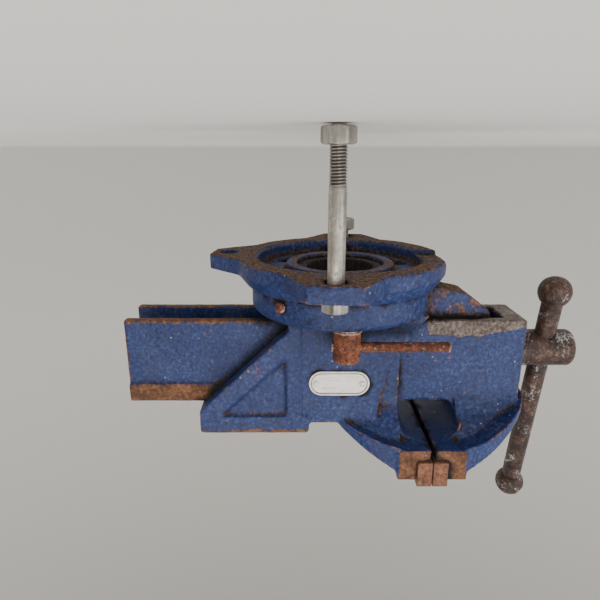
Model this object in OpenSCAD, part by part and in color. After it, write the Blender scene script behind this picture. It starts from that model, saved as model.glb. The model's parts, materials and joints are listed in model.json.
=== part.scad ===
// Bench vise with a swivel base, an anvil and a sliding front jaw.
// Origin: centre of the base's underside, on the swivel axis. +Z is up, the
// handle is at -Y, and +X is the side with the nameplate.

/* [Base] */
// Outer radius of the round base
base_r = 70; // [66:1:74]
// Height of the round base
base_h = 18; // [16:1:20]
// Radius of the circle that the bench bolts stand on
bolt_circle_r = 77; // [76:1:79]
// Radius of the bolt holes in the lugs
lug_hole_r = 6.25; // [5.25:0.25:6.75]
// Thickness of the lugs
lug_t = 10.5; // [8:0.5:12]
// Angle that the base stands at, under the vise
base_turn = 6; // [0:1:12]

/* [Body] */
// Radius of the round foot that turns on the base
foot_r = 60; // [58:1:62]
// Half the width of the body between its cheeks
body_half = 33; // [31:1:35]
// Height of the body's roof
body_top = 110.5; // [108:0.5:112]
// Rear end of the anvil
anvil_end = 95; // [80:1:100]
// Height of the anvil's face
anvil_top = 118; // [115:1:122]

/* [Jaws] */
// Height of the castings' jaws
jaw_top = 142.4; // [140:0.2:144]
// Half the width of the castings' jaws
jaw_half = 51; // [48:1:56]
// Radius of the rounded backs of the jaws
jaw_back_r = 50; // [46:1:51]
// Height of the jaw inserts
insert_h = 18; // [16:0.5:20]
// Thickness of the jaw inserts
insert_t = 10; // [8:0.5:11]

/* [Slide] */
// Half the width of the slide's walls
slide_half = 19.5; // [18:0.5:20]
// Rear end of the slide
slide_end = 145; // [135:1:150]
// Height of the slide's lower edge
slide_low = 41.5; // [40:0.5:43]
// Height of the slide's top face
slide_top = 100; // [98:0.5:101]

/* [Screw and handle] */
// Radius of the screw
screw_r = 8; // [7:0.25:8.5]
// Height of the screw's axis
screw_z = 68; // [67:0.5:69]
// Radius of the handle bar
bar_r = 7; // [6:0.25:7.5]
// Distance between the centres of the handle's balls
handle_len = 172; // [150:1:190]
// Radius of the handle's balls
ball_r = 11; // [10:0.25:12]
// How far the handle is pushed through the screw's head
handle_push = 42.5; // [0:0.5:45]
// Angle of the handle from upright
handle_tilt = 9.3; // [0:0.1:15]

/* [Bench bolts] */
// Length of the right bench bolt under its head
right_bolt_len = 90; // [60:1:120]
// Length of the left bench bolt under its head
left_bolt_len = 25.4; // [24:0.1:60]
// Radius of the bench bolts
bench_bolt_r = 4.76; // [4:0.01:5]

/* [Hidden] */
$fn = 72;
gap = 0.3;              // between parts that move past each other
run = 0.06;             // radial running clearance of a shaft in its bore
through = 200;          // longer than any cut it makes

groove_out_r = 55.5;    // annular groove under the base
groove_in_r = 36.5;
web_z = 10;             // underside of the web that the lock bolts clamp
boss_z = 5;             // underside of the ring round the pivot bore
pivot_r = 29.5;
rim_relief = [40, 20, 3.5];  // width, length and depth of the hollow at the front
slot_span = 62;         // half the angle of each lock slot
slot_half = 5.6;
lock_r = 47;            // distance of the lock bolts from the swivel axis
lock_y = -1.6;
lug_root = [[50, 37], [60, 31]];  // where the lugs' flanks leave the rim
lug_reach = 11;         // from the bolt hole to the lug's end
lug_corner = [4, 3];
lug_tip_half = 15;
rear_tip_half = 10;

foot_z = base_h + gap;
foot_top = 36;
neck_half = 25;
neck_flare = 16;
cheek_rear = 35;
roof_rear = 20;
rib_out = 0.9;          // how far the gussets' ribs stand out past the cheeks
rib_front = cheek_rear - 7.6;
anvil_out = 1.2;        // how far the anvil overhangs the cheeks
anvil_low = body_top - 5.5;
anvil_front = cheek_rear - 14;
anvil_bevel = 1.5;
gusset_low = foot_top + 9;
pocket_front = cheek_rear + 1.2;
pocket_half = 3;        // half the width of the tool that sinks the pockets
pocket_depth = 1;       // below the cheeks' faces
cheek_arc_r = 110;      // hollow front edge of the cheeks
cheek_front = -25;

meet_y = -60;           // plane in which the jaws meet
jaw_low = 120.5;        // underside of the jaws
jaw_depth = 22;         // from the meeting plane to the centre of the rounded back
jaw_reach = jaw_depth + jaw_back_r;
fixed_back_end = [105, 103];   // top and underside of the back's far end
moving_back_end = [101, 97];
throat_depth = 20;      // from the meeting plane to the castings under the jaws
throat_half = 36;
throat_r = 12;
neck_front = meet_y + throat_depth;
pillar_rear = meet_y - throat_depth;
face_back = 1.5;        // castings stand this far back from the meeting plane
insert_z = jaw_top - 14.2;
insert_gap = gap / 2;   // each insert's distance from the meeting plane
insert_over = 1.5;      // how far the inserts stand out past the castings' ends
insert_screw_x = 28;
insert_screw_r = 3;
insert_screw_len = 18;

slide_wall = 7.2;
slide_inner = slide_half - slide_wall;
rail_half = slide_half + 1.8;
rail_z = slide_top - 12.5;
front_y = -125;
front_wall = 14;
// How far out, how far back and how high each level of the pillar is, from the slide's top.
pillar_flare = [[0, 0, -4], [6, 6, 7], [18, 17, 17.5]];
pillar_root_r = 8;

keel_half = slide_inner - 0.8;
keel_top = 50;
keel_nose = [[-104, 44], [-101, 37], [-85, 25], [-66, 20.5]];  // from its tip back
nut_y = [-12, 18];
nut_foot = 10;
nut_flange = 4.5;
nut_screw_y = [nut_y[0] - nut_foot / 2, nut_y[1] + nut_foot / 2];

head_r = 13;
washer_t = 2;
head_y = [front_y - washer_t - 38, front_y - washer_t];
hole_y = (head_y[0] + head_y[1]) / 2;
spindle_end = 85;
collar_y = [front_y + front_wall + gap, front_y + front_wall + gap + 8];
pin_y = (collar_y[0] + collar_y[1]) / 2;

lock_bar_r = 3.3;
lock_bar_z = 49.3;
lock_bar_len = 63.8;
plate_at = [body_half, 1.3, 80.5];
plate_size = [40, 17.3];
rivet_y = 15.4;
stop_turn = 40;         // direction of the retaining screw in the foot
stop_z = 24;
stop_r = 2.5;
nut_screw_r = 2.5;
nut_screw_depth = 11;   // in the keel
pin_r = 2;
ball_socket = 4;        // from a ball's centre to the bar's end
lock_bolt_r = 5;
lock_hole_r = 5.3;
lock_head = [14, 14, 5];
lock_nut_r = 8.6;
lock_nut_h = 20.8;
plate_t = 1;
rivet_r = 1.6;
bench_head_flats = 14.3;
bench_head_h = 6.2;
bench_nut_flats = 15.9;
bench_nut_h = 9.2;
bench_head_turn = 4;
bench_nut_turn = 30;

cast_blue = [0.13, 0.22, 0.42];
rust_brown = [0.36, 0.20, 0.12];
dark_steel = [0.30, 0.25, 0.22];
zinc = [0.62, 0.63, 0.62];

// Turns a flat outline drawn as (Y, Z) into a plate centred on X = 0.
module along_x(half) rotate([90, 0, 90]) linear_extrude(2 * half, center = true) children();

// Block between two corners.
module block(low, high) translate(low) cube(high - low);

// Round bar along Y from one place to another.
module rod_y(x, z, y, r) translate([x, y[0], z]) rotate([-90, 0, 0]) cylinder(h = y[1] - y[0], r = r);

// ---- base -------------------------------------------------------------

module half_lug(tip_half) polygon([[lug_root[0][0], 0], lug_root[0], lug_root[1],
    [bolt_circle_r + lug_reach - lug_corner[0], tip_half + lug_corner[1]],
    [bolt_circle_r + lug_reach, tip_half], [bolt_circle_r + lug_reach, 0]]);

module lug(turn, tip_half) rotate(turn) linear_extrude(lug_t) {
    half_lug(tip_half);
    mirror([0, 1, 0]) half_lug(tip_half);
}

module arc_slot(turn) rotate(turn) {
    rotate([0, 0, -slot_span]) rotate_extrude(angle = 2 * slot_span)
        translate([lock_r - slot_half, web_z - 1]) square([2 * slot_half, base_h]);
    for (side = [-1, 1]) rotate(side * slot_span)
        translate([lock_r, 0, web_z - 1]) cylinder(h = base_h, r = slot_half);
}

module base() color(cast_blue) rotate(base_turn) difference() {
    union() {
        rotate_extrude() polygon([[groove_out_r, 1.5], [groove_out_r + 1.5, 0], [base_r - 1, 0],
            [base_r, 1], [base_r, base_h / 2], [base_r - 2, base_h / 2 + 3],
            [foot_r + 3.5, base_h], [groove_out_r, base_h]]);
        difference() {
            union() {
                lug(0, lug_tip_half);
                lug(90, rear_tip_half);
                lug(180, lug_tip_half);
            }
            translate([0, 0, -1]) cylinder(h = through, r = groove_out_r + 3);
        }
    }
    for (turn = [0, 90, 180]) rotate(turn)
        translate([bolt_circle_r, 0, -1]) cylinder(h = through, r = lug_hole_r);
    block([-rim_relief[0] / 2, -base_r - 1, -1],
        [rim_relief[0] / 2, -base_r + rim_relief[1], rim_relief[2]]);
}

// Web inside the base's rim, with the pivot bore and the slots for the lock bolts.
module base_web() color(cast_blue) rotate(base_turn) difference() {
    rotate_extrude() polygon([[pivot_r, boss_z], [groove_in_r, boss_z], [groove_in_r, web_z],
        [groove_out_r, web_z], [groove_out_r, base_h], [pivot_r, base_h]]);
    arc_slot(0);
    arc_slot(180);
}

// ---- body -------------------------------------------------------------

module cheeks() difference() {
    along_x(body_half) polygon([[-70, foot_top - 2], [cheek_rear, foot_top - 2],
        [cheek_rear, body_top - 6], [roof_rear, body_top], [-70, body_top]]);
    translate([0, cheek_front - cheek_arc_r, body_top]) rotate([0, 90, 0])
        cylinder(h = through, r = cheek_arc_r, center = true, $fn = 160);
}

module gussets() along_x(body_half + rib_out) polygon([[rib_front, foot_top - 2],
    [cheek_rear, foot_top - 2], [cheek_rear, gusset_low], [cheek_rear + 4, gusset_low + 3],
    [anvil_end, anvil_low - 3.5], [anvil_end, anvil_low + 1], [rib_front, anvil_low + 1]]);

module gusset_pocket() along_x(pocket_half) polygon([[pocket_front, gusset_low + 18],
    [pocket_front, anvil_low], [anvil_end - 14, anvil_low]]);

module anvil() {
    block([-body_half - anvil_out, anvil_front, anvil_low],
        [body_half + anvil_out, anvil_end, anvil_top - anvil_bevel]);
    block([-body_half - anvil_out + anvil_bevel, anvil_front + anvil_bevel, anvil_low],
        [body_half + anvil_out - anvil_bevel, anvil_end - anvil_bevel, anvil_top]);
}

// A jaw drawn with its meeting plane at Y = 0 and its rounded back towards +Y.
// The back slopes down to the two heights given at its far end.
module jaw_head(back_end) {
    intersection() {
        translate([0, jaw_depth, 0]) cylinder(h = through, r = jaw_back_r, $fn = 128);
        along_x(jaw_half) polygon([[jaw_depth - 2, jaw_low - 1], [jaw_depth - 2, jaw_top - 3],
            [jaw_depth + 2, jaw_top - 6], [jaw_reach, back_end[0]], [jaw_reach, back_end[1]],
            [jaw_depth + 10, jaw_low - 4]]);
    }
    difference() {
        block([-jaw_half, face_back, jaw_low], [jaw_half, jaw_depth + 1, jaw_top]);
        block([-jaw_half - 1, 0, insert_z], [jaw_half + 1, insert_gap + insert_t, through]);
    }
    along_x(throat_half) difference() {
        translate([throat_depth - throat_r, jaw_low - throat_r]) square(throat_r + 1);
        translate([throat_depth - throat_r, jaw_low - throat_r]) circle(r = throat_r);
    }
}

module insert_screw_holes() for (x = [-insert_screw_x, insert_screw_x])
    rod_y(x, insert_z + insert_h / 2, [0, insert_screw_len + 1], insert_screw_r);

module on_fixed_side() translate([0, meet_y, 0]) children();
module on_moving_side() translate([0, meet_y, 0]) mirror([0, 1, 0]) children();

module lock_places() for (side = [-1, 1]) translate([side * lock_r, lock_y, 0]) children();

module foot() {
    translate([0, 0, foot_z]) cylinder(h = foot_top - 3 - foot_z, r = foot_r);
    translate([0, 0, foot_top - 3]) cylinder(h = 3, r1 = foot_r, r2 = foot_r - 3);
}

// Ring under the foot that turns in the base's bore.
module pivot_hub() color(cast_blue) difference() {
    translate([0, 0, boss_z + 3]) cylinder(h = foot_z - boss_z - 3, r = pivot_r - run);
    cylinder(h = through, r = pivot_r - 7);
}

module neck() {
    along_x(neck_half) polygon([[neck_front, foot_top - 2], [cheek_front + 5, foot_top - 2],
        [cheek_front + 5, body_top], [neck_front, body_top]]);
    hull() {
        block([-neck_half, neck_front, slide_top + 1], [neck_half, 5, slide_top + 2]);
        block([-neck_half - neck_flare, neck_front, jaw_low - 4],
            [neck_half + neck_flare, -12, jaw_low - 3]);
    }
}

module retaining_screw_hole(r) rotate([0, 0, stop_turn]) translate([foot_r - 12, 0, stop_z])
    rotate([0, 90, 0]) cylinder(h = 13, r = r);

// Keel under the screw, with a nose that reaches forward between the slide's walls.
module keel() along_x(keel_half) polygon([[cheek_rear, foot_top - 4], [cheek_rear, keel_top],
    [keel_nose[0][0], keel_top], keel_nose[0], keel_nose[1], keel_nose[2], keel_nose[3],
    [-foot_r + 8, keel_nose[3][1]], [-foot_r + 8, foot_top - 4]]);

module body() color(cast_blue) difference() {
    union() {
        difference() {
            union() {
                foot();
                cheeks();
                neck();
                gussets();
                anvil();
                on_fixed_side() jaw_head(fixed_back_end);
            }
            block([-slide_half - gap, -through, slide_low - gap],
                [slide_half + gap, through, rail_z]);
            block([-rail_half - gap, -through, rail_z - gap],
                [rail_half + gap, through, slide_top + gap]);
            for (side = [-1, 1]) 
                translate([side * (body_half + pocket_half - pocket_depth), 0, 0]) gusset_pocket();
        }
        keel();
    }
    lock_places() translate([0, 0, boss_z]) cylinder(h = foot_top, r = lock_hole_r);
    on_fixed_side() insert_screw_holes();
    retaining_screw_hole(stop_r);
    for (y = nut_screw_y) translate([0, y, keel_top - nut_screw_depth - 1])
        cylinder(h = 2 * nut_screw_depth, r = nut_screw_r);
}

// ---- moving jaw -------------------------------------------------------

module slide() {
    block([-rail_half, neck_front + 2, rail_z], [rail_half, slide_end, slide_top]);
    block([-slide_half, front_y, rail_z], [slide_half, slide_end, slide_top]);
    for (side = [-1, 1]) translate([side * (slide_half - slide_wall / 2), 0, 0])
        block([-slide_wall / 2, front_y, slide_low], [slide_wall / 2, slide_end, rail_z + 1]);
    block([-slide_half, front_y, slide_low], [slide_half, front_y + front_wall, slide_top]);
}

module pillar_level(flare) block([-slide_half - flare[0], front_y + flare[1],
    slide_top + flare[2]], [slide_half + flare[0], pillar_rear, slide_top + flare[2] + 1]);

module pillar() {
    along_x(slide_half) polygon([[front_y, rail_z], [front_y, slide_top], [-100, jaw_low - 4],
        [pillar_rear, jaw_low], [pillar_rear, rail_z]]);
    for (k = [1, 2]) hull() {
        pillar_level(pillar_flare[k - 1]);
        pillar_level(pillar_flare[k]);
    }
    difference() {
        block([-slide_half, pillar_rear - 1, slide_top - 1],
            [slide_half, pillar_rear + pillar_root_r, slide_top + pillar_root_r]);
        translate([0, pillar_rear + pillar_root_r, slide_top + pillar_root_r])
            rotate([0, 90, 0]) cylinder(h = through, r = pillar_root_r, center = true);
    }
}

module moving_jaw() color(cast_blue) difference() {
    union() {
        slide();
        pillar();
        on_moving_side() jaw_head(moving_back_end);
    }
    rod_y(0, screw_z, [front_y - 1, front_y + front_wall + 1], screw_r + run);
    on_moving_side() insert_screw_holes();
}

// ---- jaw inserts ------------------------------------------------------

module jaw_insert() color(rust_brown) difference() {
    block([-jaw_half - insert_over, insert_gap, insert_z],
        [jaw_half + insert_over, insert_gap + insert_t, insert_z + insert_h]);
    insert_screw_holes();
    for (x = [-insert_screw_x, insert_screw_x]) translate([x, 0, insert_z + insert_h / 2])
        rotate([-90, 0, 0]) cylinder(h = 4.4, r1 = insert_screw_r + 3.6, r2 = insert_screw_r);
}

module insert_screws() color(dark_steel)
    for (x = [-insert_screw_x, insert_screw_x]) translate([x, 0, insert_z + insert_h / 2])
        rotate([-90, 0, 0]) difference() {
            union() {
                translate([0, 0, 0.9]) cylinder(h = 3, r1 = insert_screw_r + 2.7,
                    r2 = insert_screw_r - 0.1);
                translate([0, 0, 0.9]) cylinder(h = insert_screw_len - 1,
                    r = insert_screw_r - 0.05);
            }
            translate([0, 0, 1.4]) cube([20, 1.2, 2], center = true);
        }

module fixed_jaw_insert() on_fixed_side() jaw_insert();
module moving_jaw_insert() on_moving_side() jaw_insert();
module fixed_insert_screws() on_fixed_side() insert_screws();
module moving_insert_screws() on_moving_side() insert_screws();

// ---- screw ------------------------------------------------------------

// Places its children with +Z along the handle bar, centred on the screw's head.
module along_handle() translate([0, hole_y, screw_z]) rotate([0, -handle_tilt, 0]) children();

module screw_spindle() color(dark_steel) difference() {
    union() {
        rod_y(0, screw_z, [head_y[1] - 1, spindle_end], screw_r);
        translate([0, head_y[0], screw_z]) rotate([-90, 0, 0]) rotate_extrude()
            polygon([[0, 0], [head_r - 2.5, 0], [head_r - 0.7, 0.8], [head_r, 2.5],
                [head_r, head_y[1] - head_y[0] - 1], [head_r - 1, head_y[1] - head_y[0]],
                [0, head_y[1] - head_y[0]]]);
    }
    along_handle() cylinder(h = 4 * head_r, r = bar_r + run, center = true);
    translate([0, pin_y, screw_z]) rotate([0, 90, 0])
        cylinder(h = through, r = pin_r + 0.05, center = true);
}

module spindle_nut() color(dark_steel) difference() {
    union() {
        block([-keel_half, nut_y[0], keel_top], [keel_half, nut_y[1], screw_z + 12]);
        block([-keel_half, nut_y[0] - nut_foot, keel_top],
            [keel_half, nut_y[1] + nut_foot, keel_top + nut_flange]);
    }
    rod_y(0, screw_z, [nut_y[0] - 1, nut_y[1] + 1], screw_r + run);
    for (y = nut_screw_y) translate([0, y, keel_top - 1]) cylinder(h = 20, r = nut_screw_r + 0.1);
}

module spindle_nut_screws() color(dark_steel) for (y = nut_screw_y) translate([0, y, keel_top]) {
    translate([0, 0, -nut_screw_depth])
        cylinder(h = nut_screw_depth + nut_flange + 0.5, r = nut_screw_r - 0.05);
    translate([0, 0, nut_flange]) cylinder(h = 2.5, r1 = nut_screw_r + 2.2, r2 = nut_screw_r + 1.5);
}

module thrust_washer() color(dark_steel) difference() {
    rod_y(0, screw_z, [front_y - washer_t + 0.1, front_y - 0.1], head_r + 1);
    rod_y(0, screw_z, [front_y - washer_t - 1, front_y + 1], screw_r + run);
}

module spindle_collar() color(dark_steel) difference() {
    rod_y(0, screw_z, collar_y, slide_inner - 0.6);
    rod_y(0, screw_z, [collar_y[0] - 1, collar_y[1] + 1], screw_r + run);
    translate([0, pin_y, screw_z]) rotate([0, 90, 0])
        cylinder(h = through, r = pin_r + 0.05, center = true);
}

module collar_pin() color(dark_steel) translate([0, pin_y, screw_z]) rotate([0, 90, 0])
    cylinder(h = 2 * (slide_inner - 0.8), r = pin_r, center = true);

// ---- handle -----------------------------------------------------------

module handle_bar() color(dark_steel) along_handle() translate([0, 0, handle_push])
    cylinder(h = handle_len - 2 * ball_socket, r = bar_r, center = true);

module handle_ball(side) color(dark_steel) along_handle() difference() {
    translate([0, 0, handle_push + side * handle_len / 2]) sphere(r = ball_r, $fn = 48);
    translate([0, 0, handle_push]) cylinder(h = handle_len - 2 * ball_socket, r = bar_r,
        center = true);
}

module handle_ball_top() handle_ball(1);
module handle_ball_bottom() handle_ball(-1);

// ---- swivel locks -----------------------------------------------------

module lock_bolt(side) color(dark_steel) translate([side * lock_r, lock_y, 0]) {
    translate([0, 0, web_z - gap - lock_head[2] / 2]) cube(lock_head, center = true);
    translate([0, 0, web_z - gap - 1]) cylinder(h = lock_bar_z - lock_bar_r - 1.5 - web_z,
        r = lock_bolt_r);
}

module lock_washer(side) color(dark_steel) translate([side * lock_r, lock_y, foot_top])
    difference() {
        cylinder(h = washer_t, r = lock_nut_r + 1);
        translate([0, 0, -1]) cylinder(h = 5, r = lock_bolt_r + run);
    }

module lock_nut(side) color(rust_brown) translate([side * lock_r, lock_y, 0]) difference() {
    translate([0, 0, foot_top + washer_t + gap]) rotate_extrude()
        polygon([[0, 0], [lock_nut_r, 0], [lock_nut_r, lock_nut_h - 2],
            [lock_nut_r - 2, lock_nut_h], [0, lock_nut_h]]);
    translate([0, 0, foot_top]) cylinder(h = lock_bar_z - lock_bar_r - 0.8 - foot_top,
        r = lock_bolt_r + run);
    translate([0, 0, lock_bar_z]) rotate([90, 0, 0])
        cylinder(h = through, r = lock_bar_r + 0.03, center = true);
}

// The right bar points to the front and the left bar to the rear.
module lock_bar(side) color(rust_brown) translate([side * lock_r, lock_y, lock_bar_z])
    rotate([90 * side, 0, 0]) {
        translate([0, 0, -lock_nut_r - 1]) cylinder(h = lock_bar_len + lock_nut_r, r = lock_bar_r);
        translate([0, 0, lock_bar_len - 1.5]) cylinder(h = 1.5, r1 = lock_bar_r + 0.5,
            r2 = lock_bar_r);
    }

module lock_bolt_right() lock_bolt(1);
module lock_bolt_left() lock_bolt(-1);
module lock_washer_right() lock_washer(1);
module lock_washer_left() lock_washer(-1);
module lock_nut_right() lock_nut(1);
module lock_nut_left() lock_nut(-1);
module lock_bar_right() lock_bar(1);
module lock_bar_left() lock_bar(-1);

// ---- plate and small screws -------------------------------------------

module nameplate() color(zinc) translate(plate_at) rotate([90, 0, 90]) difference() {
    linear_extrude(plate_t) {
        square([plate_size[0] - plate_size[1], plate_size[1]], center = true);
        for (side = [-1, 1]) translate([side * (plate_size[0] - plate_size[1]) / 2, 0])
            circle(r = plate_size[1] / 2);
    }
    for (side = [-1, 1]) translate([side * rivet_y, 0, -1]) cylinder(h = 5, r = rivet_r + 0.05);
}

module nameplate_rivets() color(zinc) for (side = [-1, 1])
    translate([body_half, plate_at[1] + side * rivet_y, plate_at[2]]) rotate([0, 90, 0]) {
        cylinder(h = plate_t + 0.1, r = rivet_r);
        translate([0, 0, plate_t + 0.1]) cylinder(h = 0.9, r1 = rivet_r + 0.7, r2 = rivet_r - 0.5);
    }

module retaining_screw() color(rust_brown) {
    retaining_screw_hole(stop_r - 0.05);
    rotate([0, 0, stop_turn]) translate([foot_r + 0.2, 0, stop_z]) rotate([0, 90, 0])
        rotate_extrude() polygon([[0, 0], [3.6, 0], [3.6, 1.2], [2.9, 2.4], [1.5, 3], [0, 3.1]]);
}

// ---- bench bolts ------------------------------------------------------

module at_bench_bolt(turn) rotate([0, 0, base_turn + turn]) translate([bolt_circle_r, 0, 0])
    children();

// Hexagon with its corners turned down on the faces named.
module hexagon(flats, height, turn, chamfer_low, chamfer_high) intersection() {
    rotate(turn) cylinder(h = height, d = flats / cos(30), $fn = 6);
    rotate_extrude() polygon([[0, 0], [flats / 2 - (chamfer_low ? 0.3 : -3), 0],
        [flats / 2 + 3, chamfer_low ? 2 : 0], [flats / 2 + 3, height - (chamfer_high ? 2 : 0)],
        [flats / 2 - (chamfer_high ? 0.3 : -3), height], [0, height]]);
}

module bench_bolt(turn, length) color(zinc) at_bench_bolt(turn) {
    translate([0, 0, lug_t])
        hexagon(bench_head_flats, bench_head_h, bench_head_turn, false, true);
    translate([0, 0, lug_t - length]) rotate_extrude() polygon([[0, 0],
        [bench_bolt_r - 1, 0], [bench_bolt_r, 1], [bench_bolt_r, length + 1], [0, length + 1]]);
}

module bench_nut(turn, length) color(zinc) at_bench_bolt(turn)
    translate([0, 0, lug_t - length + 0.5]) difference() {
        hexagon(bench_nut_flats, bench_nut_h, bench_nut_turn, true, true);
        translate([0, 0, -1]) cylinder(h = 20, r = bench_bolt_r + 0.04);
    }

module bench_bolt_right() bench_bolt(0, right_bolt_len);
module bench_bolt_left() bench_bolt(180, left_bolt_len);
module bench_nut_right() bench_nut(0, right_bolt_len);
module bench_nut_left() bench_nut(180, left_bolt_len);

base();
base_web();
body();
moving_jaw();
fixed_jaw_insert();
moving_jaw_insert();
fixed_insert_screws();
moving_insert_screws();
screw_spindle();
spindle_nut();
spindle_nut_screws();
thrust_washer();
spindle_collar();
collar_pin();
handle_bar();
handle_ball_top();
handle_ball_bottom();
lock_bolt_right();
lock_bolt_left();
lock_washer_right();
lock_washer_left();
lock_nut_right();
lock_nut_left();
lock_bar_right();
lock_bar_left();
nameplate();
nameplate_rivets();
retaining_screw();
pivot_hub();
bench_bolt_right();
bench_bolt_left();
bench_nut_right();
bench_nut_left();
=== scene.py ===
"""Looks of a bench vise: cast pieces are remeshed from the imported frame, bolts get real threads, and every
piece has a procedural material. Everything is in metres, in the frame of the CAD model."""

import json
import math

import bmesh
import bpy
import numpy as np
from mathutils import Matrix, Vector, noise
from mathutils.bvhtree import BVHTree
from mathutils.kdtree import KDTree


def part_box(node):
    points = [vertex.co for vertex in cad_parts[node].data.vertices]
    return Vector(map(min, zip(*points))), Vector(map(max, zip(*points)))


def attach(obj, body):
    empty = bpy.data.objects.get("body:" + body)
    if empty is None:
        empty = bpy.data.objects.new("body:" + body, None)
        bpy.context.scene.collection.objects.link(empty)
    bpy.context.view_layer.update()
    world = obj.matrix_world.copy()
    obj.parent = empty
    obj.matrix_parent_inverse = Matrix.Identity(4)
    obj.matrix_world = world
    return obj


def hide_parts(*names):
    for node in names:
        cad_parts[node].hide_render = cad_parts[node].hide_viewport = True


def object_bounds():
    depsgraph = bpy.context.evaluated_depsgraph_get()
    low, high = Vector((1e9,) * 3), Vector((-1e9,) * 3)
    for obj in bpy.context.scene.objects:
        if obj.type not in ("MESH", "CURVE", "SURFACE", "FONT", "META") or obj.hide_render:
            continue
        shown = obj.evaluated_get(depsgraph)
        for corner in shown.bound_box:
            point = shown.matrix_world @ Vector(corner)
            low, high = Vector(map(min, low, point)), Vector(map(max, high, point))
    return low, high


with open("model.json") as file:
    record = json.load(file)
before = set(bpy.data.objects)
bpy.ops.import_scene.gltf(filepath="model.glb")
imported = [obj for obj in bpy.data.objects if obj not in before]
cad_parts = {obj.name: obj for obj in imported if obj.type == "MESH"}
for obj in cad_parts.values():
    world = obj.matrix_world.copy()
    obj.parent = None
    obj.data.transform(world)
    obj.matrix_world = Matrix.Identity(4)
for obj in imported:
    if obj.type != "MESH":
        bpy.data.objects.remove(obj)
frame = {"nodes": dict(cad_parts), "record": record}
cad_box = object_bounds()

MM = 0.001
BODY_OF = {n: b for b, members in frame["record"]["behaviour"]["bodies"].items() for n in members}


# ---- camera, light and stage -------------------------------------------

def camera():
    """The camera looks at the nameplate's side from a little below the base, upside down."""
    pitch = math.radians(16.5)
    forward = Vector((-math.cos(pitch), 0, math.sin(pitch)))
    down = Vector((math.sin(pitch), 0, math.cos(pitch)))
    right = forward.cross(-down)
    place = Vector((0.3364, 0.0272, -0.06675))
    turn = Matrix((right, -down, -forward)).transposed().to_4x4()
    data = bpy.data.cameras.new("camera")
    data.sensor_width = 36
    data.lens = 30.18
    data.clip_start = 0.01
    cam = bpy.data.objects.new("camera", data)
    cam.matrix_world = Matrix.Translation(place) @ turn
    bpy.context.scene.collection.objects.link(cam)
    bpy.context.scene.camera = cam


def soft_light(name, place, radius, power, colour=(1, 1, 1)):
    data = bpy.data.lights.new(name, "POINT")
    data.shadow_soft_size = radius
    data.energy = power
    data.color = colour
    lamp = bpy.data.objects.new(name, data)
    lamp.location = place
    bpy.context.scene.collection.objects.link(lamp)


def lights():
    world = bpy.data.worlds.new("studio")
    world.use_nodes = True
    back = world.node_tree.nodes["Background"]
    back.inputs["Color"].default_value = (0.93, 0.95, 1.0, 1)
    back.inputs["Strength"].default_value = 0.27
    bpy.context.scene.world = world
    soft_light("key", (1.15, 0.10, 0.50), 0.42, 32, (1, 0.98, 0.95))
    soft_light("fill", (0.80, -1.00, 0.40), 0.40, 27, (0.94, 0.97, 1))
    soft_light("top", (0.00, 0.10, 1.50), 0.50, 14)
    soft_light("rear", (-0.90, 1.00, 1.00), 0.45, 13)
    soft_light("side", (-0.90, -1.00, 1.00), 0.45, 9)


def stage():
    """A pale round floor just under the hanging bolt, which curves up into a rim on every side."""
    pale = new_material("pale_stage")
    bsdf = pale.node_tree.nodes["Principled BSDF"]
    bsdf.inputs["Base Color"].default_value = (0.88, 0.86, 0.82, 1)
    bsdf.inputs["Roughness"].default_value = 0.85
    floor_z = cad_box[0].z - 0.0006
    disc, flat, sweep, wall = 0.4, 2.0, 1.2, 4.5
    ring, steps = 96, 32
    profile = [(disc, floor_z), (flat, floor_z)]
    for k in range(1, steps + 1):
        angle = k / steps * math.pi / 2
        profile.append((flat + sweep * math.sin(angle), floor_z + sweep * (1 - math.cos(angle))))
    profile.append((flat + sweep, floor_z + sweep + wall))
    turns = [2 * math.pi * k / ring for k in range(ring)]
    corners = [(r * math.cos(t), r * math.sin(t), z) for r, z in profile for t in turns]
    faces = []
    for row in range(len(profile) - 1):
        near, far = row * ring, (row + 1) * ring
        for k in range(ring):
            beside = (k + 1) % ring
            faces.append((near + k, far + k, far + beside, near + beside))
    faces.append(tuple(range(ring)))
    mesh = bpy.data.meshes.new("floor")
    mesh.from_pydata(corners, [], faces)
    mesh.shade_smooth()
    mesh.materials.append(pale)
    floor = bpy.data.objects.new("floor", mesh)
    bpy.context.scene.collection.objects.link(floor)


# ---- material building blocks ------------------------------------------

def new_material(name):
    mat = bpy.data.materials.new(name)
    mat.use_nodes = True
    return mat


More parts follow.
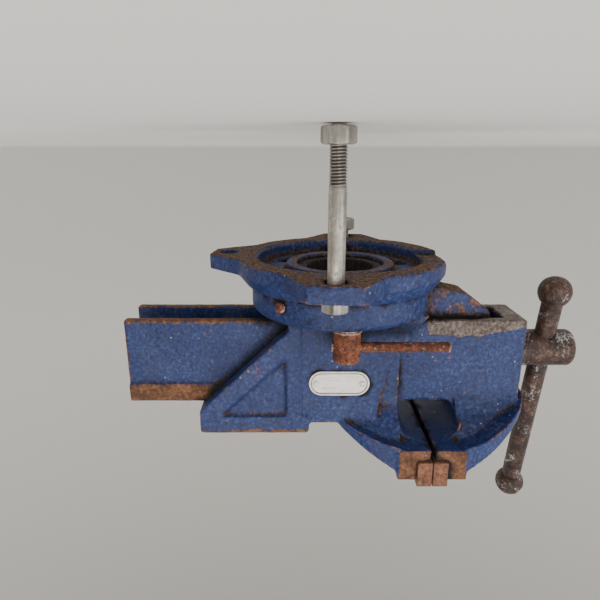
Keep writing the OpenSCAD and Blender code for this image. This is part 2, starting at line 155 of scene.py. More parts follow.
class Nodes:
    """Short calls for building one material's node tree."""

    def __init__(self, mat):
        self.tree = mat.node_tree
        self.bsdf = self.tree.nodes["Principled BSDF"]
        self.place = self.add("ShaderNodeTexCoord").outputs["Object"]

    def add(self, kind, **settings):
        node = self.tree.nodes.new(kind)
        for key, value in settings.items():
            setattr(node, key, value)
        return node

    def link(self, source, socket):
        if isinstance(source, (int, float)):
            socket.default_value = source
        elif isinstance(source, tuple):
            socket.default_value = (*source, 1.0)
        else:
            self.tree.links.new(source, socket)

    def noise(self, scale, detail=4, rough=0.6, place=None, distortion=0.0):
        node = self.add("ShaderNodeTexNoise")
        self.link(place or self.place, node.inputs["Vector"])
        node.inputs["Scale"].default_value = scale
        node.inputs["Detail"].default_value = detail
        node.inputs["Roughness"].default_value = rough
        node.inputs["Distortion"].default_value = distortion
        return node.outputs["Fac"]

    def stretch(self, scales, turn=(0, 0, 0)):
        node = self.add("ShaderNodeMapping")
        self.link(self.place, node.inputs["Vector"])
        node.inputs["Scale"].default_value = scales
        node.inputs["Rotation"].default_value = turn
        return node.outputs["Vector"]

    def cells(self, scale, randomness=1.0):
        node = self.add("ShaderNodeTexVoronoi")
        self.link(self.place, node.inputs["Vector"])
        node.inputs["Scale"].default_value = scale
        node.inputs["Randomness"].default_value = randomness
        return node.outputs["Distance"]

    def step(self, value, low, high, out_low=0.0, out_high=1.0):
        node = self.add("ShaderNodeMapRange", interpolation_type="SMOOTHSTEP")
        self.link(value, node.inputs["Value"])
        for key, number in (("From Min", low), ("From Max", high), ("To Min", out_low), ("To Max", out_high)):
            node.inputs[key].default_value = number
        return node.outputs["Result"]

    def math(self, op, a, b=0.0, clamp=False):
        node = self.add("ShaderNodeMath", operation=op, use_clamp=clamp)
        self.link(a, node.inputs[0])
        self.link(b, node.inputs[1])
        return node.outputs["Value"]

    def weigh(self, *pairs):
        """The sum of some values, each times its weight."""
        terms = [self.math("MULTIPLY", value, weight) for value, weight in pairs]
        total = terms[0]
        for term in terms[1:]:
            total = self.math("ADD", total, term)
        return total

    def swing(self, value, amount):
        """A noise's swing about its middle, times an amount."""
        return self.math("MULTIPLY", self.math("SUBTRACT", value, 0.5), amount)

    def mix(self, factor, a, b):
        node = self.add("ShaderNodeMix", data_type="RGBA")
        self.link(factor, node.inputs["Factor"])
        self.link(a, node.inputs["A"])
        self.link(b, node.inputs["B"])
        return node.outputs["Result"]

    def mix_value(self, factor, a, b):
        node = self.add("ShaderNodeMix", data_type="FLOAT")
        self.link(factor, node.inputs["Factor"])
        self.link(a, node.inputs["A"])
        self.link(b, node.inputs["B"])
        return node.outputs["Result"]

    def ramp(self, value, stops):
        node = self.add("ShaderNodeValToRGB")
        self.link(value, node.inputs["Fac"])
        ramp = node.color_ramp
        while len(ramp.elements) < len(stops):
            ramp.elements.new(0.5)
        for element, (at, colour) in zip(ramp.elements, stops):
            element.position = at
            element.color = (*colour, 1.0)
        return node.outputs["Color"]

    def attribute(self, name):
        return self.add("ShaderNodeAttribute", attribute_name=name).outputs["Fac"]

    def bump(self, height, distance, strength=1.0):
        node = self.add("ShaderNodeBump")
        self.link(height, node.inputs["Height"])
        node.inputs["Distance"].default_value = distance
        node.inputs["Strength"].default_value = strength
        self.link(node.outputs["Normal"], self.bsdf.inputs["Normal"])

    def finish(self, colour, rough, metal):
        self.link(colour, self.bsdf.inputs["Base Color"])
        self.link(rough, self.bsdf.inputs["Roughness"])
        self.link(metal, self.bsdf.inputs["Metallic"])


RUST = [(0.30, (0.032, 0.015, 0.010)), (0.46, (0.105, 0.045, 0.024)),
        (0.58, (0.235, 0.108, 0.054)), (0.72, (0.400, 0.190, 0.090)), (0.85, (0.46, 0.27, 0.16))]
BLUES = [(0.38, (0.0026, 0.0062, 0.034)), (0.46, (0.0085, 0.0195, 0.090)),
         (0.54, (0.0165, 0.0335, 0.138)), (0.64, (0.062, 0.091, 0.215))]


def cast_paint():
    """Textured blue enamel over sand-cast iron. Vertex marks say where it is worn, rusty or dusty, and where
    shade is painted into its colour.
    """
    mat = new_material("worn_blue_enamel")
    n = Nodes(mat)
    edge, bare = n.attribute("edge"), n.attribute("bare")
    zone, dust_and_shade = n.attribute("rusty"), n.attribute("dust_and_shade")
    broad = n.noise(22, 5)
    patch = n.noise(80, 6, 0.7)
    fine = n.noise(420, 5, 0.72)
    grain = n.noise(1300, 3, 0.6)
    tone = n.weigh((broad, 0.25), (fine, 0.75))
    paint = n.ramp(tone, BLUES)
    haze = n.step(n.noise(34, 7, 0.75), 0.50, 0.72, 0.0, 0.30)
    paint = n.mix(haze, paint, (0.078, 0.090, 0.132))
    scratch = n.noise(80, 4, 0.6, place=n.stretch((1, 0.16, 1.6), (0.5, 0.3, 0.9)), distortion=0.35)
    scratch = n.step(scratch, 0.715, 0.760, 0.0, 0.28)
    paint = n.mix(scratch, paint, (0.30, 0.33, 0.40))
    rust = n.ramp(n.weigh((patch, 0.5), (fine, 0.5)), RUST)
    # Wear grows from the edges inward, in broken stretches.
    worn = n.step(n.weigh((edge, 0.52), (patch, 1.0), (fine, 0.45)), 1.16, 1.29, 0.0, 0.92)
    stain = n.weigh((n.noise(48, 7, 0.75), 0.65), (fine, 0.35))
    stain = n.step(stain, 0.565, 0.67, 0.0, 0.72)
    rusty = n.math("MAXIMUM", worn, stain, clamp=True)
    zoned = n.math("ADD", n.math("MULTIPLY", zone, 1.25), n.swing(patch, 1.9))
    zoned = n.step(n.math("ADD", zoned, n.swing(fine, 0.8)), 0.42, 0.66)
    rusty = n.math("MAXIMUM", rusty, n.math("MULTIPLY", zoned, n.step(zone, 0.05, 0.3)), clamp=True)
    colour = n.mix(rusty, paint, rust)
    # Bare, ground casting: brown-grey with bright scuffs.
    raw = n.ramp(n.weigh((fine, 0.75), (patch, 0.25)),
                 [(0.32, (0.030, 0.018, 0.014)), (0.46, (0.110, 0.078, 0.066)),
                  (0.56, (0.215, 0.175, 0.160)), (0.72, (0.46, 0.42, 0.40))])
    bare_mask = n.math("ADD", bare, n.swing(patch, 0.8))
    bare_mask = n.math("MULTIPLY", n.step(bare_mask, 0.42, 0.56), n.step(bare, 0.02, 0.1))
    colour = n.mix(bare_mask, colour, raw)
    # Pale specks where the paint is chipped.
    speck = n.step(n.cells(170), 0.13, 0.06)
    speck = n.math("MULTIPLY", speck, n.step(n.noise(40, 3), 0.50, 0.60))
    colour = n.mix(n.math("MULTIPLY", speck, 0.7), colour, (0.44, 0.42, 0.42))
    # Dust and dirt lie over the underside, the keel's nose and the rails. In hollows and shut-in spots, and
    # all over the hub, the soil colour is painted shade as well as dust.
    dark_tint = n.math("ADD", dust_and_shade, n.swing(patch, 1.3))
    dark_tint = n.math("MULTIPLY", n.step(dark_tint, 0.30, 0.85, 0.0, 0.85), n.step(dust_and_shade, 0.02, 0.2))
    dust_and_shade_colour = n.ramp(fine, [(0.40, (0.016, 0.009, 0.006)), (0.50, (0.084, 0.044, 0.023)),
                         (0.62, (0.210, 0.120, 0.064))])
    colour = n.mix(dark_tint, colour, dust_and_shade_colour)
    # Painted shade: deep hollows, shut-in spots and seams are darkened almost to black.
    uneven = n.math("ADD", 0.75, n.math("MULTIPLY", patch, 0.5))
    shade = n.math("MULTIPLY", n.attribute("shade"), uneven, clamp=True)
    colour = n.mix(n.math("MULTIPLY", shade, 0.94), colour, (0.0045, 0.0045, 0.0065))
    rough = n.mix_value(rusty, n.step(fine, 0.3, 0.7, 0.36, 0.58), 0.84)
    rough = n.mix_value(dark_tint, rough, 0.92)
    rough = n.mix_value(bare_mask, rough, 0.55)
    rough = n.mix_value(shade, rough, 0.8)
    n.finish(colour, rough, n.math("MULTIPLY", bare_mask, 0.35))
    height = n.weigh((n.noise(560, 3, 0.5), 0.8), (grain, 0.35))
    height = n.math("SUBTRACT", height, n.math("MULTIPLY", rusty, 0.40))
    height = n.math("ADD", height, n.math("MULTIPLY", n.math("MULTIPLY", rusty, fine), 0.9))
    height = n.math("ADD", height, n.math("MULTIPLY", n.math("MULTIPLY", bare_mask, fine), 1.3))
    n.bump(height, 0.0007, 0.9)
    n.bsdf.inputs["Specular IOR Level"].default_value = 0.36
    return mat


def rusted_steel():
    mat = new_material("orange_rust")
    n = Nodes(mat)
    patch, fine, grain = n.noise(110, 6, 0.7), n.noise(480, 6, 0.75), n.noise(1500, 4, 0.6)
    tone = n.weigh((patch, 0.5), (fine, 0.5))
    colour = n.ramp(tone, [(0.36, (0.016, 0.006, 0.005)), (0.46, (0.080, 0.020, 0.008)),
                           (0.54, (0.185, 0.048, 0.016)), (0.62, (0.330, 0.110, 0.038)),
                           (0.74, (0.520, 0.340, 0.210))])
    bright = n.math("ADD", n.math("MULTIPLY", n.attribute("edge"), 0.25), n.noise(300, 5, 0.8))
    bright = n.step(bright, 0.62, 0.76, 0.0, 0.7)
    colour = n.mix(bright, colour, (0.56, 0.46, 0.40))
    n.finish(colour, n.step(fine, 0.35, 0.7, 0.88, 0.55), n.math("MULTIPLY", bright, 0.5))
    n.bump(n.weigh((fine, 0.8), (grain, 0.35)), 0.0007, 0.95)
    return mat


def insert_steel():
    """Machined jaw steel under a film of brown rust."""
    mat = new_material("browned_jaw_steel")
    n = Nodes(mat)
    patch, fine, grain = n.noise(70, 6, 0.65), n.noise(360, 5, 0.7), n.noise(1600, 3, 0.6)
    tone = n.weigh((patch, 0.5), (fine, 0.5))
    colour = n.ramp(tone, [(0.36, (0.045, 0.015, 0.007)), (0.46, (0.155, 0.055, 0.024)),
                           (0.55, (0.250, 0.098, 0.044)), (0.68, (0.38, 0.20, 0.105))])
    grey = n.step(n.noise(45, 5, 0.6), 0.56, 0.70, 0.0, 0.3)
    colour = n.mix(grey, colour, (0.24, 0.175, 0.11))
    worn = n.step(n.math("ADD", n.attribute("edge"), n.math("MULTIPLY", fine, 0.5)), 0.78, 1.15, 0.0, 0.75)
    colour = n.mix(worn, colour, (0.060, 0.028, 0.018))
    n.finish(colour, n.step(fine, 0.3, 0.7, 0.8, 0.5), n.math("MULTIPLY", grey, 0.3))
    n.bump(n.weigh((fine, 0.6), (grain, 0.3)), 0.0004, 0.85)
    return mat


def dark_steel():
    """Brown oxide with bright metal where hands and the bench have rubbed it."""
    mat = new_material("brown_oxide_steel")
    n = Nodes(mat)
    patch, fine, grain = n.noise(95, 6, 0.7), n.noise(430, 6, 0.75), n.noise(1400, 4, 0.6)
    tone = n.weigh((patch, 0.5), (fine, 0.5))
    colour = n.ramp(tone, [(0.36, (0.007, 0.004, 0.004)), (0.46, (0.024, 0.012, 0.010)),
                           (0.55, (0.080, 0.041, 0.029)), (0.68, (0.26, 0.150, 0.098))])
    rubbed = n.weigh((n.noise(75, 8, 0.8, distortion=0.5), 0.60), (n.noise(520, 6, 0.8), 0.40),
                     (n.attribute("edge"), 0.06))
    bright = n.step(rubbed, 0.550, 0.620)
    colour = n.mix(bright, colour, n.mix(grain, (0.32, 0.29, 0.27), (0.74, 0.71, 0.70)))
    n.finish(colour, n.mix_value(bright, 0.52, 0.34), n.mix_value(bright, 0.25, 0.65))
    n.bump(n.weigh((fine, 0.8), (grain, 0.3)), 0.0006, 0.9)
    return mat


def zinc_plate():
    mat = new_material("weathered_zinc")
    n = Nodes(mat)
    patch, fine, grain = n.noise(80, 5, 0.65), n.noise(420, 6, 0.7), n.noise(1500, 3, 0.6)
    drawn = n.noise(240, 4, 0.6, place=n.stretch((1, 1, 0.12)))
    tone = n.weigh((patch, 0.45), (drawn, 0.55))
    colour = n.ramp(tone, [(0.36, (0.130, 0.115, 0.098)), (0.50, (0.285, 0.262, 0.232)),
                           (0.64, (0.580, 0.555, 0.520))])
    stain = n.weigh((patch, 0.5), (fine, 0.5))
    stain = n.step(stain, 0.53, 0.63, 0, 0.7)
    colour = n.mix(stain, colour, n.mix(grain, (0.115, 0.090, 0.065), (0.30, 0.235, 0.165)))
    darkening = n.step(n.attribute("hollow"), 0.15, 0.8, 0.0, 0.9)
    colour = n.mix(darkening, colour, (0.034, 0.030, 0.027))
    n.finish(colour, n.mix_value(stain, n.step(fine, 0.3, 0.7, 0.34, 0.50), 0.7),
             n.mix_value(stain, 0.42, 0.2))
    n.bump(n.weigh((fine, 0.6), (grain, 0.3)), 0.00022, 0.8)
    return mat


def plate_aluminium():
    mat = new_material("dull_plate")
    n = Nodes(mat)
    patch, fine = n.noise(130, 6, 0.7), n.noise(600, 5, 0.7)
    brushed = n.noise(900, 3, 0.6, place=n.stretch((1, 0.06, 1)))
    colour = n.ramp(n.weigh((patch, 0.5), (brushed, 0.5)),
                    [(0.34, (0.50, 0.46, 0.43)), (0.5, (0.78, 0.73, 0.69)), (0.66, (0.92, 0.89, 0.86))])
    dark_tint = n.step(n.math("ADD", n.attribute("hollow"), n.math("MULTIPLY", fine, 0.35)), 0.42, 0.80, 0.0, 0.88)
    colour = n.mix(dark_tint, colour, (0.050, 0.040, 0.032))
    spots = n.step(n.weigh((patch, 0.5), (fine, 0.5)), 0.58, 0.66, 0, 0.6)
    colour = n.mix(spots, colour, (0.20, 0.15, 0.11))
    n.finish(colour, n.mix_value(spots, n.step(fine, 0.3, 0.7, 0.40, 0.55), 0.75),
             n.mix_value(dark_tint, 0.22, 0.05))
    n.bump(n.weigh((brushed, 0.5), (fine, 0.4)), 0.00014, 0.7)
    return mat


# ---- mesh building blocks ----------------------------------------------

SHARP_BEND = 0.22  # the curvature that counts as a full edge or a full hollow


def arrays(mesh):
    points = np.empty(len(mesh.vertices) * 3)
    mesh.vertices.foreach_get("co", points)
    normals = np.empty(len(mesh.vertices) * 3)
    mesh.vertices.foreach_get("normal", normals)
    edges = np.empty(len(mesh.edges) * 2, dtype=np.int64)
    mesh.edges.foreach_get("vertices", edges)
    return points.reshape(-1, 3), normals.reshape(-1, 3), edges.reshape(-1, 2)


def spread(values, edges, count, rounds):
    """Averages values over their neighbours a number of times."""
    degree = np.bincount(edges.ravel(), minlength=count).clip(1)
    for _ in range(rounds):
        total = np.bincount(edges[:, 0], values[edges[:, 1]], count)
        total += np.bincount(edges[:, 1], values[edges[:, 0]], count)
        values = 0.5 * values + 0.5 * total / degree
    return values


def curvature(mesh, rounds):
    """Above zero on outer edges, below zero in hollows."""
    points, normals, edges = arrays(mesh)
    a, b = edges[:, 0], edges[:, 1]
    across = points[b] - points[a]
    length = np.linalg.norm(across, axis=1).clip(1e-9)
    bend = np.einsum("ij,ij->i", normals[b] - normals[a], across) / length
    count = len(points)
    total = np.bincount(a, bend, count) + np.bincount(b, bend, count)
    degree = np.bincount(edges.ravel(), minlength=count).clip(1)
    return spread(total / degree, edges, count, rounds)


def mark(mesh, name, values):
    layer = mesh.attributes.new(name, "FLOAT", "POINT")
    layer.data.foreach_set("value", np.asarray(values, dtype=np.float32))


def remeshed(nodes, name, voxel, smooth=3, lumps=0.0, lump_scale=90.0):
    """Some CAD nodes copied as one piece, with softened edges and an uneven, cast or forged surface."""
    whole = bmesh.new()
    for node in nodes:
        whole.from_mesh(frame["nodes"][node].data)
    mesh = bpy.data.meshes.new(name)
    whole.to_mesh(mesh)
    whole.free()
    obj = bpy.data.objects.new(name, mesh)
    bpy.context.scene.collection.objects.link(obj)
    for kind, settings in (("REMESH", {"mode": "VOXEL", "voxel_size": voxel}),
                           ("SMOOTH", {"factor": 0.5, "iterations": smooth})):
        modifier = obj.modifiers.new(kind.lower(), kind)
        for key, value in settings.items():
            setattr(modifier, key, value)
    solid = bpy.data.meshes.new_from_object(obj.evaluated_get(bpy.context.evaluated_depsgraph_get()))
    obj.modifiers.clear()
    obj.data = solid
    solid.name = name
    solid.shade_smooth()
    if lumps:
        points, normals, _ = arrays(solid)
        places = [Vector(p) * lump_scale for p in points]
        bumps = np.array([noise.noise(at) + 0.5 * noise.noise(at * 3.1) for at in places])
        points = points + normals * (lumps * (bumps - 0.6))[:, None]
        solid.vertices.foreach_set("co", points.ravel())
        solid.update()
    bend = curvature(solid, 3) / SHARP_BEND
    mark(solid, "edge", np.clip(bend, 0, 1))
    mark(solid, "hollow", np.clip(-bend, 0, 1))
    return obj


def everything_tree():
    """All the CAD nodes at rest, for casting rays against."""
    corners, faces = [], []
    for obj in frame["nodes"].values():
        first = len(corners)
        corners.extend(v.co.copy() for v in obj.data.vertices)
        faces.extend(tuple(first + i for i in p.vertices) for p in obj.data.polygons)
    return BVHTree.FromPolygons(corners, faces)


def enclosed(points, normals, reach=0.026, samples=9000, rays=22):
    """How far each point is shut in by the shapes around it, from 0 in the open to 1 in a deep hollow."""
    pick = RANDOM.permutation(len(points))[:samples]
    directions = RANDOM.normal(size=(rays, 3))
    directions /= np.linalg.norm(directions, axis=1)[:, None]
    tree = KDTree(len(pick))
    shut = np.zeros(len(pick))
    for k, i in enumerate(pick):
        point, normal = points[i], normals[i]
        start = Vector(point + 0.0008 * normal)
        total = 0.0
        for direction in directions:
            way = direction + 1.02 * normal
            hit = SURROUNDINGS.ray_cast(start, Vector(way).normalized(), reach)
            if hit[0] is not None:
                total += 1 - hit[3] / reach
        shut[k] = total / rays
        tree.insert(point, k)
    tree.balance()
    return np.array([np.mean([shut[j] for _, j, _ in tree.find_n(p, 4)]) for p in points])


def install(obj, nodes, material):
    """Hangs a finished piece on its body, in place of its CAD nodes."""
    obj.data.materials.clear()
    obj.data.materials.append(material)
    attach(obj, BODY_OF[nodes[0]])
    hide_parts(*nodes)
    return obj


def ramp_up(values, low, high):
    """0 at low and 1 at high, held at both ends. low may be the greater, for a ramp that falls."""
    return np.clip((values - low) / (high - low), 0, 1)


# ---- castings ----------------------------------------------------------

# Where the marks on the castings begin and end.
FADE = 2 * MM
RIM_TOP = 4.5 * MM
HOLLOW_R = 55 * MM
HOLLOW_TOP = 15 * MM
NOSE_START = -55 * MM
NOSE_TOP = 50 * MM
ANVIL_START = 19 * MM
ANVIL_TOP = 118 * MM
BLOCK_REACH = 22.2 * MM
BLOCK_LOW = 120.7 * MM
BLOCK_SIDE = 50 * MM
SLIDE_SIDE = 19 * MM
RAIL_SIDE = 20.7 * MM
RAIL_LOW = 87 * MM
RAIL_FRONT = -42 * MM
HEM_TOP = 42.5 * MM
STRIP_START = -57.5 * MM
STRIP_TAPER = -90 * MM
STRIP_HEIGHT = 11.2 * MM


def casting(nodes, name, marks, darkening=0.0):
    """A cast piece in enamel. The last argument is the least painted shade that it has anywhere."""
    obj = remeshed(nodes, name, CAST_VOXEL, 4, 0.00016)
    points, normals, edges = arrays(obj.data)
    bend = curvature(obj.data, 10)
    bare, rusty, dust_and_shade = marks(points, normals)
    mark(obj.data, "bare", bare)
    mark(obj.data, "rusty", rusty)
    # Painted shade: the more a point is shut in by the shapes around it, or the deeper its crease, the darker
    # its colour.
    shut = spread(enclosed(points, normals), edges, len(points), 3)
    crease = 0.55 * ramp_up(-curvature(obj.data, 2), 0.03, 0.14)
    mark(obj.data, "shade", np.maximum(ramp_up(shut, 0.15, 0.48), crease).clip(darkening, 1))
    # Painted shade as well as dust: hollows and shut-in spots get more of the soil colour.
    hollow_dust_and_shade = 0.8 * ramp_up(-bend, 0.02, 0.12) + 0.5 * ramp_up(shut, 0.10, 0.35)
    mark(obj.data, "dust_and_shade", np.clip(dust_and_shade + hollow_dust_and_shade, 0, 1))
    return install(obj, nodes, ENAMEL)


def base_marks(points, normals):
    """The underside's rims are soiled and rusty, and the hollows inside them are tinted towards brown-black.
    """
    x, y, z = points.T
    down = ramp_up(-normals[:, 2], 0.5, 0.9)
    rim = down * ramp_up(z, RIM_TOP + FADE, RIM_TOP)
    inside = ramp_up(np.hypot(x, y), HOLLOW_R + FADE, HOLLOW_R) * ramp_up(z, HOLLOW_TOP + FADE, HOLLOW_TOP)
    return 0.0 * rim, 0.42 * rim, np.maximum(0.82 * rim, 0.38 * inside)


def hub_marks(points, normals):
    """The hub is tinted brown-black all over, with a little rust; the tint is painted shade, as the hub sits
    deep inside the base.
    """
    none = np.zeros(len(points))
    return none, none + 0.1, none + 0.8


def body_marks(points, normals):
    """The keel's nose is brown underneath, and the anvil's edge is rusty."""
    y, z = points[:, 1], points[:, 2]
    ahead = ramp_up(y, NOSE_START, NOSE_START - 5 * MM) * ramp_up(z, NOSE_TOP + 10 * MM, NOSE_TOP)
    nose = ahead * np.maximum(ramp_up(-normals[:, 2], 0.1, 0.6), 0.45)
    anvil = ramp_up(y, ANVIL_START, ANVIL_START + FADE)
    edge = anvil * ramp_up(z, ANVIL_TOP - 5 * MM, ANVIL_TOP - 2.5 * MM)
    up = ramp_up(normals[:, 2], 0.8, 0.95)
    face = anvil * up * ramp_up(z, ANVIL_TOP - 0.6 * MM, ANVIL_TOP - 0.2 * MM)
    rusty = np.maximum.reduce([0.62 * edge, 0.9 * jaw_end(points, normals), 0.72 * nose])
    return 0.55 * face, rusty, 0.75 * nose


def jaw_end(points, normals):
    """Ends and tops of the jaws' machined blocks."""
    x, y, z = points.T
    meet = (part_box("fixed_jaw_insert")[0].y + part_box("moving_jaw_insert")[1].y) / 2
    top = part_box("moving_jaw")[1].z
    near = ramp_up(BLOCK_REACH - np.abs(y - meet), 0, 0.6 * MM)
    wide = ramp_up(np.abs(x), BLOCK_SIDE - 0.5 * MM, BLOCK_SIDE) * ramp_up(np.abs(normals[:, 0]), 0.5, 0.8)
    flat = ramp_up(z, top - 1.2 * MM, top - 0.6 * MM)
    return near * np.maximum(wide, flat) * ramp_up(z, BLOCK_LOW, BLOCK_LOW + 0.5 * MM)


def jaw_marks(points, normals):
    """The slide's near lower edge was ground rough, and its rails are rusty."""
    x, y, z = points.T
    low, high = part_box("moving_jaw")
    side = ramp_up(np.abs(normals[:, 0]), 0.5, 0.8) * ramp_up(np.abs(x), SLIDE_SIDE - 0.5 * MM, SLIDE_SIDE)
    # The ground strip thins out towards the front, and its upper edge is ragged.
    ahead = np.clip((STRIP_TAPER - y) / (STRIP_TAPER - low.y), 0, 1)
    start = ramp_up(y, STRIP_START, STRIP_START - 2.5 * MM)
    ragged = 0.9 * MM * np.sin(y * 310 + 1.7 * np.sin(y * 143)) + 0.4 * MM * np.sin(y * 870 + 2)
    deep = STRIP_HEIGHT * np.sqrt(start) * (1 - 0.86 * ahead ** 1.6) + ragged * (1 - ahead)
    strip = ramp_up(low.z + deep - z, -1.3 * MM, 1.3 * MM)
    ground = side * (start > 0) * strip * ramp_up(x, 0, 1 * MM)
    under = ramp_up(-normals[:, 2], 0.6, 0.9) * ramp_up(z, HEM_TOP + 2.5 * MM, HEM_TOP + 0.5 * MM)
    rail = side * ramp_up(np.abs(x), RAIL_SIDE - 0.4 * MM, RAIL_SIDE)
    rail = rail * ramp_up(z, RAIL_LOW - 1 * MM, RAIL_LOW) * (y > RAIL_FRONT)
    hem = 0.55 * side * ramp_up(z, HEM_TOP + 3 * MM, HEM_TOP) * ramp_up(y, 20 * MM, 30 * MM)
    tail = 0.5 * ramp_up(y, high.y - 3 * MM, high.y - 1 * MM)
    behind = y > -50 * MM
    rusty = np.maximum.reduce([0.95 * rail, hem, tail, 0.6 * under * behind, 0.9 * jaw_end(points, normals)])
    return np.maximum(ground, 0.7 * under * ~behind), rusty, 0.2 * rail


# ---- threaded parts ----------------------------------------------------

def thread_depth(phase):
    """How deep a V thread is cut at a phase from 0 to 1, with a flat crest and root."""
    slope = np.abs(2 * (phase % 1.0) - 1)
    return np.clip((slope - 0.12) / 0.72, 0, 1)


def threaded_bar(name, stretches, pitch, depth, ring_count=56):
    """A round bar along Z. stretches lists (low, high, radius, threaded), from the bottom up.

    A thread runs out over a turn and a half below the top of its stretch."""
    heights, radii, cut = [], [], []
    for low, high, radius, threaded in stretches:
        length = high - low
        steps = max(2, int(length / (pitch / 9))) if threaded else max(3, int(length / (2 * MM)))
        for k in range(steps + 1):
            at = k / steps
            heights.append(low + at * length)
            radii.append(radius)
            cut.append(min(1.0, (high - heights[-1]) / (1.5 * pitch)) if threaded else 0.0)
    heights, radii, cut = np.array(heights), np.array(radii), np.array(cut)
    angles = np.arange(ring_count) * 2 * math.pi / ring_count
    phase = heights[:, None] / pitch - angles[None, :] / (2 * math.pi)
    deep = thread_depth(phase) * cut[:, None]
    radius = radii[:, None] - depth * deep
    x, y = radius * np.cos(angles), radius * np.sin(angles)
    z = np.repeat(heights[:, None], ring_count, axis=1)
    points = np.stack([x, y, z], -1).reshape(-1, 3)
    rings = len(heights)
    faces = [(r * ring_count + i, r * ring_count + (i + 1) % ring_count,
              (r + 1) * ring_count + (i + 1) % ring_count, (r + 1) * ring_count + i)
             for r in range(rings - 1) for i in range(ring_count)]
    faces.append(tuple(reversed(range(ring_count))))
    faces.append(tuple(range((rings - 1) * ring_count, rings * ring_count)))
    mesh = bpy.data.meshes.new(name)
    mesh.from_pydata(points.tolist(), [], faces)
    mesh.shade_smooth()
    mark(mesh, "hollow", deep.ravel())
    mark(mesh, "edge", (1 - deep.ravel()) * 0.3)
    obj = bpy.data.objects.new(name, mesh)
    bpy.context.scene.collection.objects.link(obj)
    return obj


def join(name, parts):
    bpy.ops.object.select_all(action="DESELECT")
    for part in parts:
        part.select_set(True)
    bpy.context.view_layer.objects.active = parts[0]
    bpy.ops.object.join()
    parts[0].name = name
    return parts[0]


def trim(obj, unwanted):
    """Deletes the vertices that the test picks, and closes the cut."""
    cut = bmesh.new()
    cut.from_mesh(obj.data)
    bmesh.ops.delete(cut, geom=[v for v in cut.verts if unwanted(v.co)], context="VERTS")
    bmesh.ops.holes_fill(cut, edges=[e for e in cut.edges if e.is_boundary])
    cut.to_mesh(obj.data)
    cut.free()


# Sizes of the threaded parts. A cut is the depth of a thread.
BOLT_R = 4.74 * MM
BOLT_HEAD = 6.2 * MM
BOLT_THREAD = 31 * MM
BOLT_PITCH, BOLT_CUT = 1.6 * MM, 0.85 * MM
SCREW_PITCH, SCREW_CUT = 5 * MM, 1.9 * MM


def bench_bolt(side):
    """A hex bolt with a rolled thread, on the axis of its CAD node."""
    node = f"bench_bolt_{side}"
    low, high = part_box(node)
    axis = Vector(((low.x + high.x) / 2, (low.y + high.y) / 2, 0))
    radius, chamfer = BOLT_R, 0.9 * MM
    thread_top = low.z + min(BOLT_THREAD, 0.55 * (high.z - low.z))
    bar = threaded_bar(f"{node}_shank", [
        (low.z, low.z + chamfer, radius - chamfer, False),
        (low.z + chamfer, thread_top, radius, True),
        (thread_top, thread_top + 1.2 * MM, radius - 0.15 * MM, False),
        (thread_top + 2 * MM, high.z - 4 * MM, radius, False)], BOLT_PITCH, BOLT_CUT)
    bar.data.transform(Matrix.Translation(axis))
    head = remeshed([node], f"{node}_head", 0.35 * MM, 3, 0.00003, 500)
    lug_top = high.z - BOLT_HEAD
    trim(head, lambda place: place.z < lug_top - 0.6 * MM)
    obj = join(f"{node}_threaded", [bar, head])
    install(obj, [node], ZINC)


def spindle():
    """The screw, with a rolled thread over the stretch that runs in its nut."""
    low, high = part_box("screw_spindle")
    centre_x, centre_z = (low.x + high.x) / 2, (low.z + high.z) / 2
    nut_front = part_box("spindle_nut")[0].y
    radius = max(math.hypot(v.co.x - centre_x, v.co.z - centre_z)
                 for v in frame["nodes"]["screw_spindle"].data.vertices if v.co.y > nut_front)
    start, chamfer = nut_front - 12 * MM, 1.2 * MM
    bar = threaded_bar("spindle_thread", [
        (-high.y, -high.y + chamfer, radius - chamfer, False),
        (-high.y + chamfer, -start - 2 * MM, radius, True),
        (-start - 2 * MM, -start, radius - 0.1 * MM, False)], SCREW_PITCH, SCREW_CUT, 64)
    bar.data.transform(Matrix.Translation((centre_x, 0, centre_z)) @ Matrix.Rotation(math.pi / 2, 4, "X"))
    head = remeshed(["screw_spindle"], "spindle_head", 0.7 * MM, 3, 0.00008, 260)
    trim(head, lambda place: place.y > start + chamfer)
    install(join("spindle_threaded", [bar, head]), ["screw_spindle"], DARK)


# ---- nameplate ---------------------------------------------------------

# How far in from the plate's outline its rim ends and its sunk field begins.
PLATE_RIM, PLATE_FIELD = 1.05 * MM, 1.35 * MM


def nameplate():
    """A blank stamped plate with a raised rim."""
    obj = remeshed(["nameplate"], "blank_nameplate", 0.28 * MM, 2)
    points, normals, _ = arrays(obj.data)
    low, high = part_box("nameplate")
    centre_y, centre_z = (low.y + high.y) / 2, (low.z + high.z) / 2
    round_r, straight = (high.z - low.z) / 2, ((high.y - low.y) - (high.z - low.z)) / 2
    across = np.maximum(np.abs(points[:, 1] - centre_y) - straight, 0)
    inset = round_r - np.hypot(across, points[:, 2] - centre_z)
    out = ramp_up(normals[:, 0], 0.7, 0.95)
    rim = ramp_up(inset, 0.2 * MM, 0.5 * MM) * ramp_up(inset, PLATE_FIELD, PLATE_RIM)
    field = ramp_up(inset, PLATE_RIM, PLATE_FIELD)
    points[:, 0] += out * (0.10 * MM * rim - 0.20 * MM * field)
    obj.data.vertices.foreach_set("co", points.ravel())
    obj.data.update()
    hollow = obj.data.attributes["hollow"]
    groove = np.clip(-curvature(obj.data, 1) / 0.05, 0, 1)
    hollow.data.foreach_set("value", np.clip(groove * out, 0, 1).astype(np.float32))
    install(obj, ["nameplate"], PLATE)


# ---- the object --------------------------------------------------------

ENAMEL, RUSTED, INSERT = cast_paint(), rusted_steel(), insert_steel()
DARK, ZINC, PLATE = dark_steel(), zinc_plate(), plate_aluminium()
CAST_VOXEL = 0.9 * MM
RANDOM = np.random.default_rng(7)
SURROUNDINGS = everything_tree()

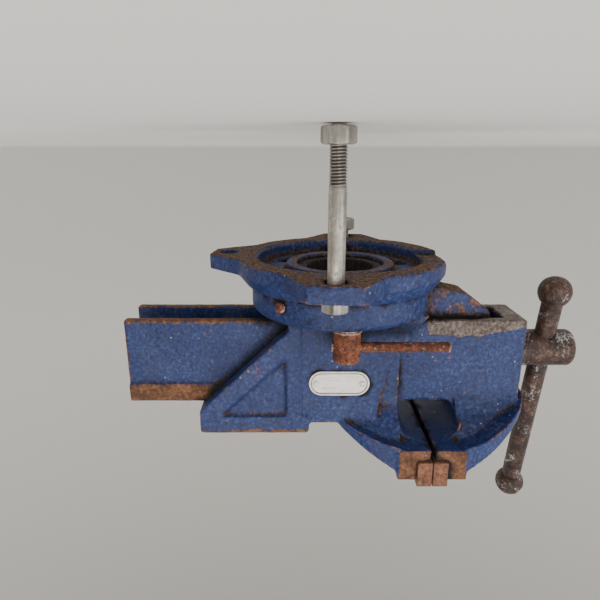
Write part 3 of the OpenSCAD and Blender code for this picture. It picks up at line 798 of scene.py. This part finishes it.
# Each piece's material, its slot, its voxels in millimetres and how lumpy it is in metres.
FORGED = {
    "fixed_jaw_insert": (INSERT, "rusted_steel", 0.5, 0.00004),
    "moving_jaw_insert": (INSERT, "rusted_steel", 0.5, 0.00004),
    "lock_nut_right": (RUSTED, "rusted_steel", 0.4, 0.0002),
    "lock_nut_left": (RUSTED, "rusted_steel", 0.4, 0.0002),
    "lock_bar_right": (RUSTED, "rusted_steel", 0.4, 0.00022),
    "lock_bar_left": (RUSTED, "rusted_steel", 0.4, 0.00022),
    "retaining_screw": (RUSTED, "rusted_steel", 0.35, 0.0001),
    "handle_bar": (DARK, "dark_steel", 0.6, 0.0001),
    "handle_ball_top": (DARK, "dark_steel", 0.6, 0.0002),
    "handle_ball_bottom": (DARK, "dark_steel", 0.6, 0.0002),
    "bench_nut_right": (ZINC, "zinc_plate", 0.35, 0.00003),
    "bench_nut_left": (ZINC, "zinc_plate", 0.35, 0.00003),
    "nameplate_rivets": (PLATE, "plate_aluminium", 0.2, 0.00002),
    "lock_bolt_right": (DARK, "dark_steel", 0.5, 0.00005),
    "lock_bolt_left": (DARK, "dark_steel", 0.5, 0.00005),
    "lock_washer_right": (RUSTED, "rusted_steel", 0.4, 0.00003),
    "lock_washer_left": (RUSTED, "rusted_steel", 0.4, 0.00003),
    "thrust_washer": (DARK, "dark_steel", 0.4, 0.00003),
    "spindle_collar": (DARK, "dark_steel", 0.6, 0.00003),
    "spindle_nut": (DARK, "dark_steel", 0.7, 0.00003),
}

camera()
lights()
stage()
casting(["base", "base_web"], "base_casting", base_marks)
casting(["body"], "body_casting", body_marks)
casting(["moving_jaw"], "moving_jaw_casting", jaw_marks)
# The hub's least painted shade is high, so it stays dark inside the base.
casting(["pivot_hub"], "pivot_hub_casting", hub_marks, darkening=0.82)
for node, (material, slot, voxel, lumps) in FORGED.items():
    piece = remeshed([node], f"{node}_worn", voxel * MM, 3, lumps, 260)
    install(piece, [node], material)
for side in ("right", "left"):
    bench_bolt(side)
spindle()
nameplate()
for node, obj in frame["nodes"].items():
    if not obj.hide_render:
        obj.data.materials.clear()
        obj.data.materials.append(DARK)
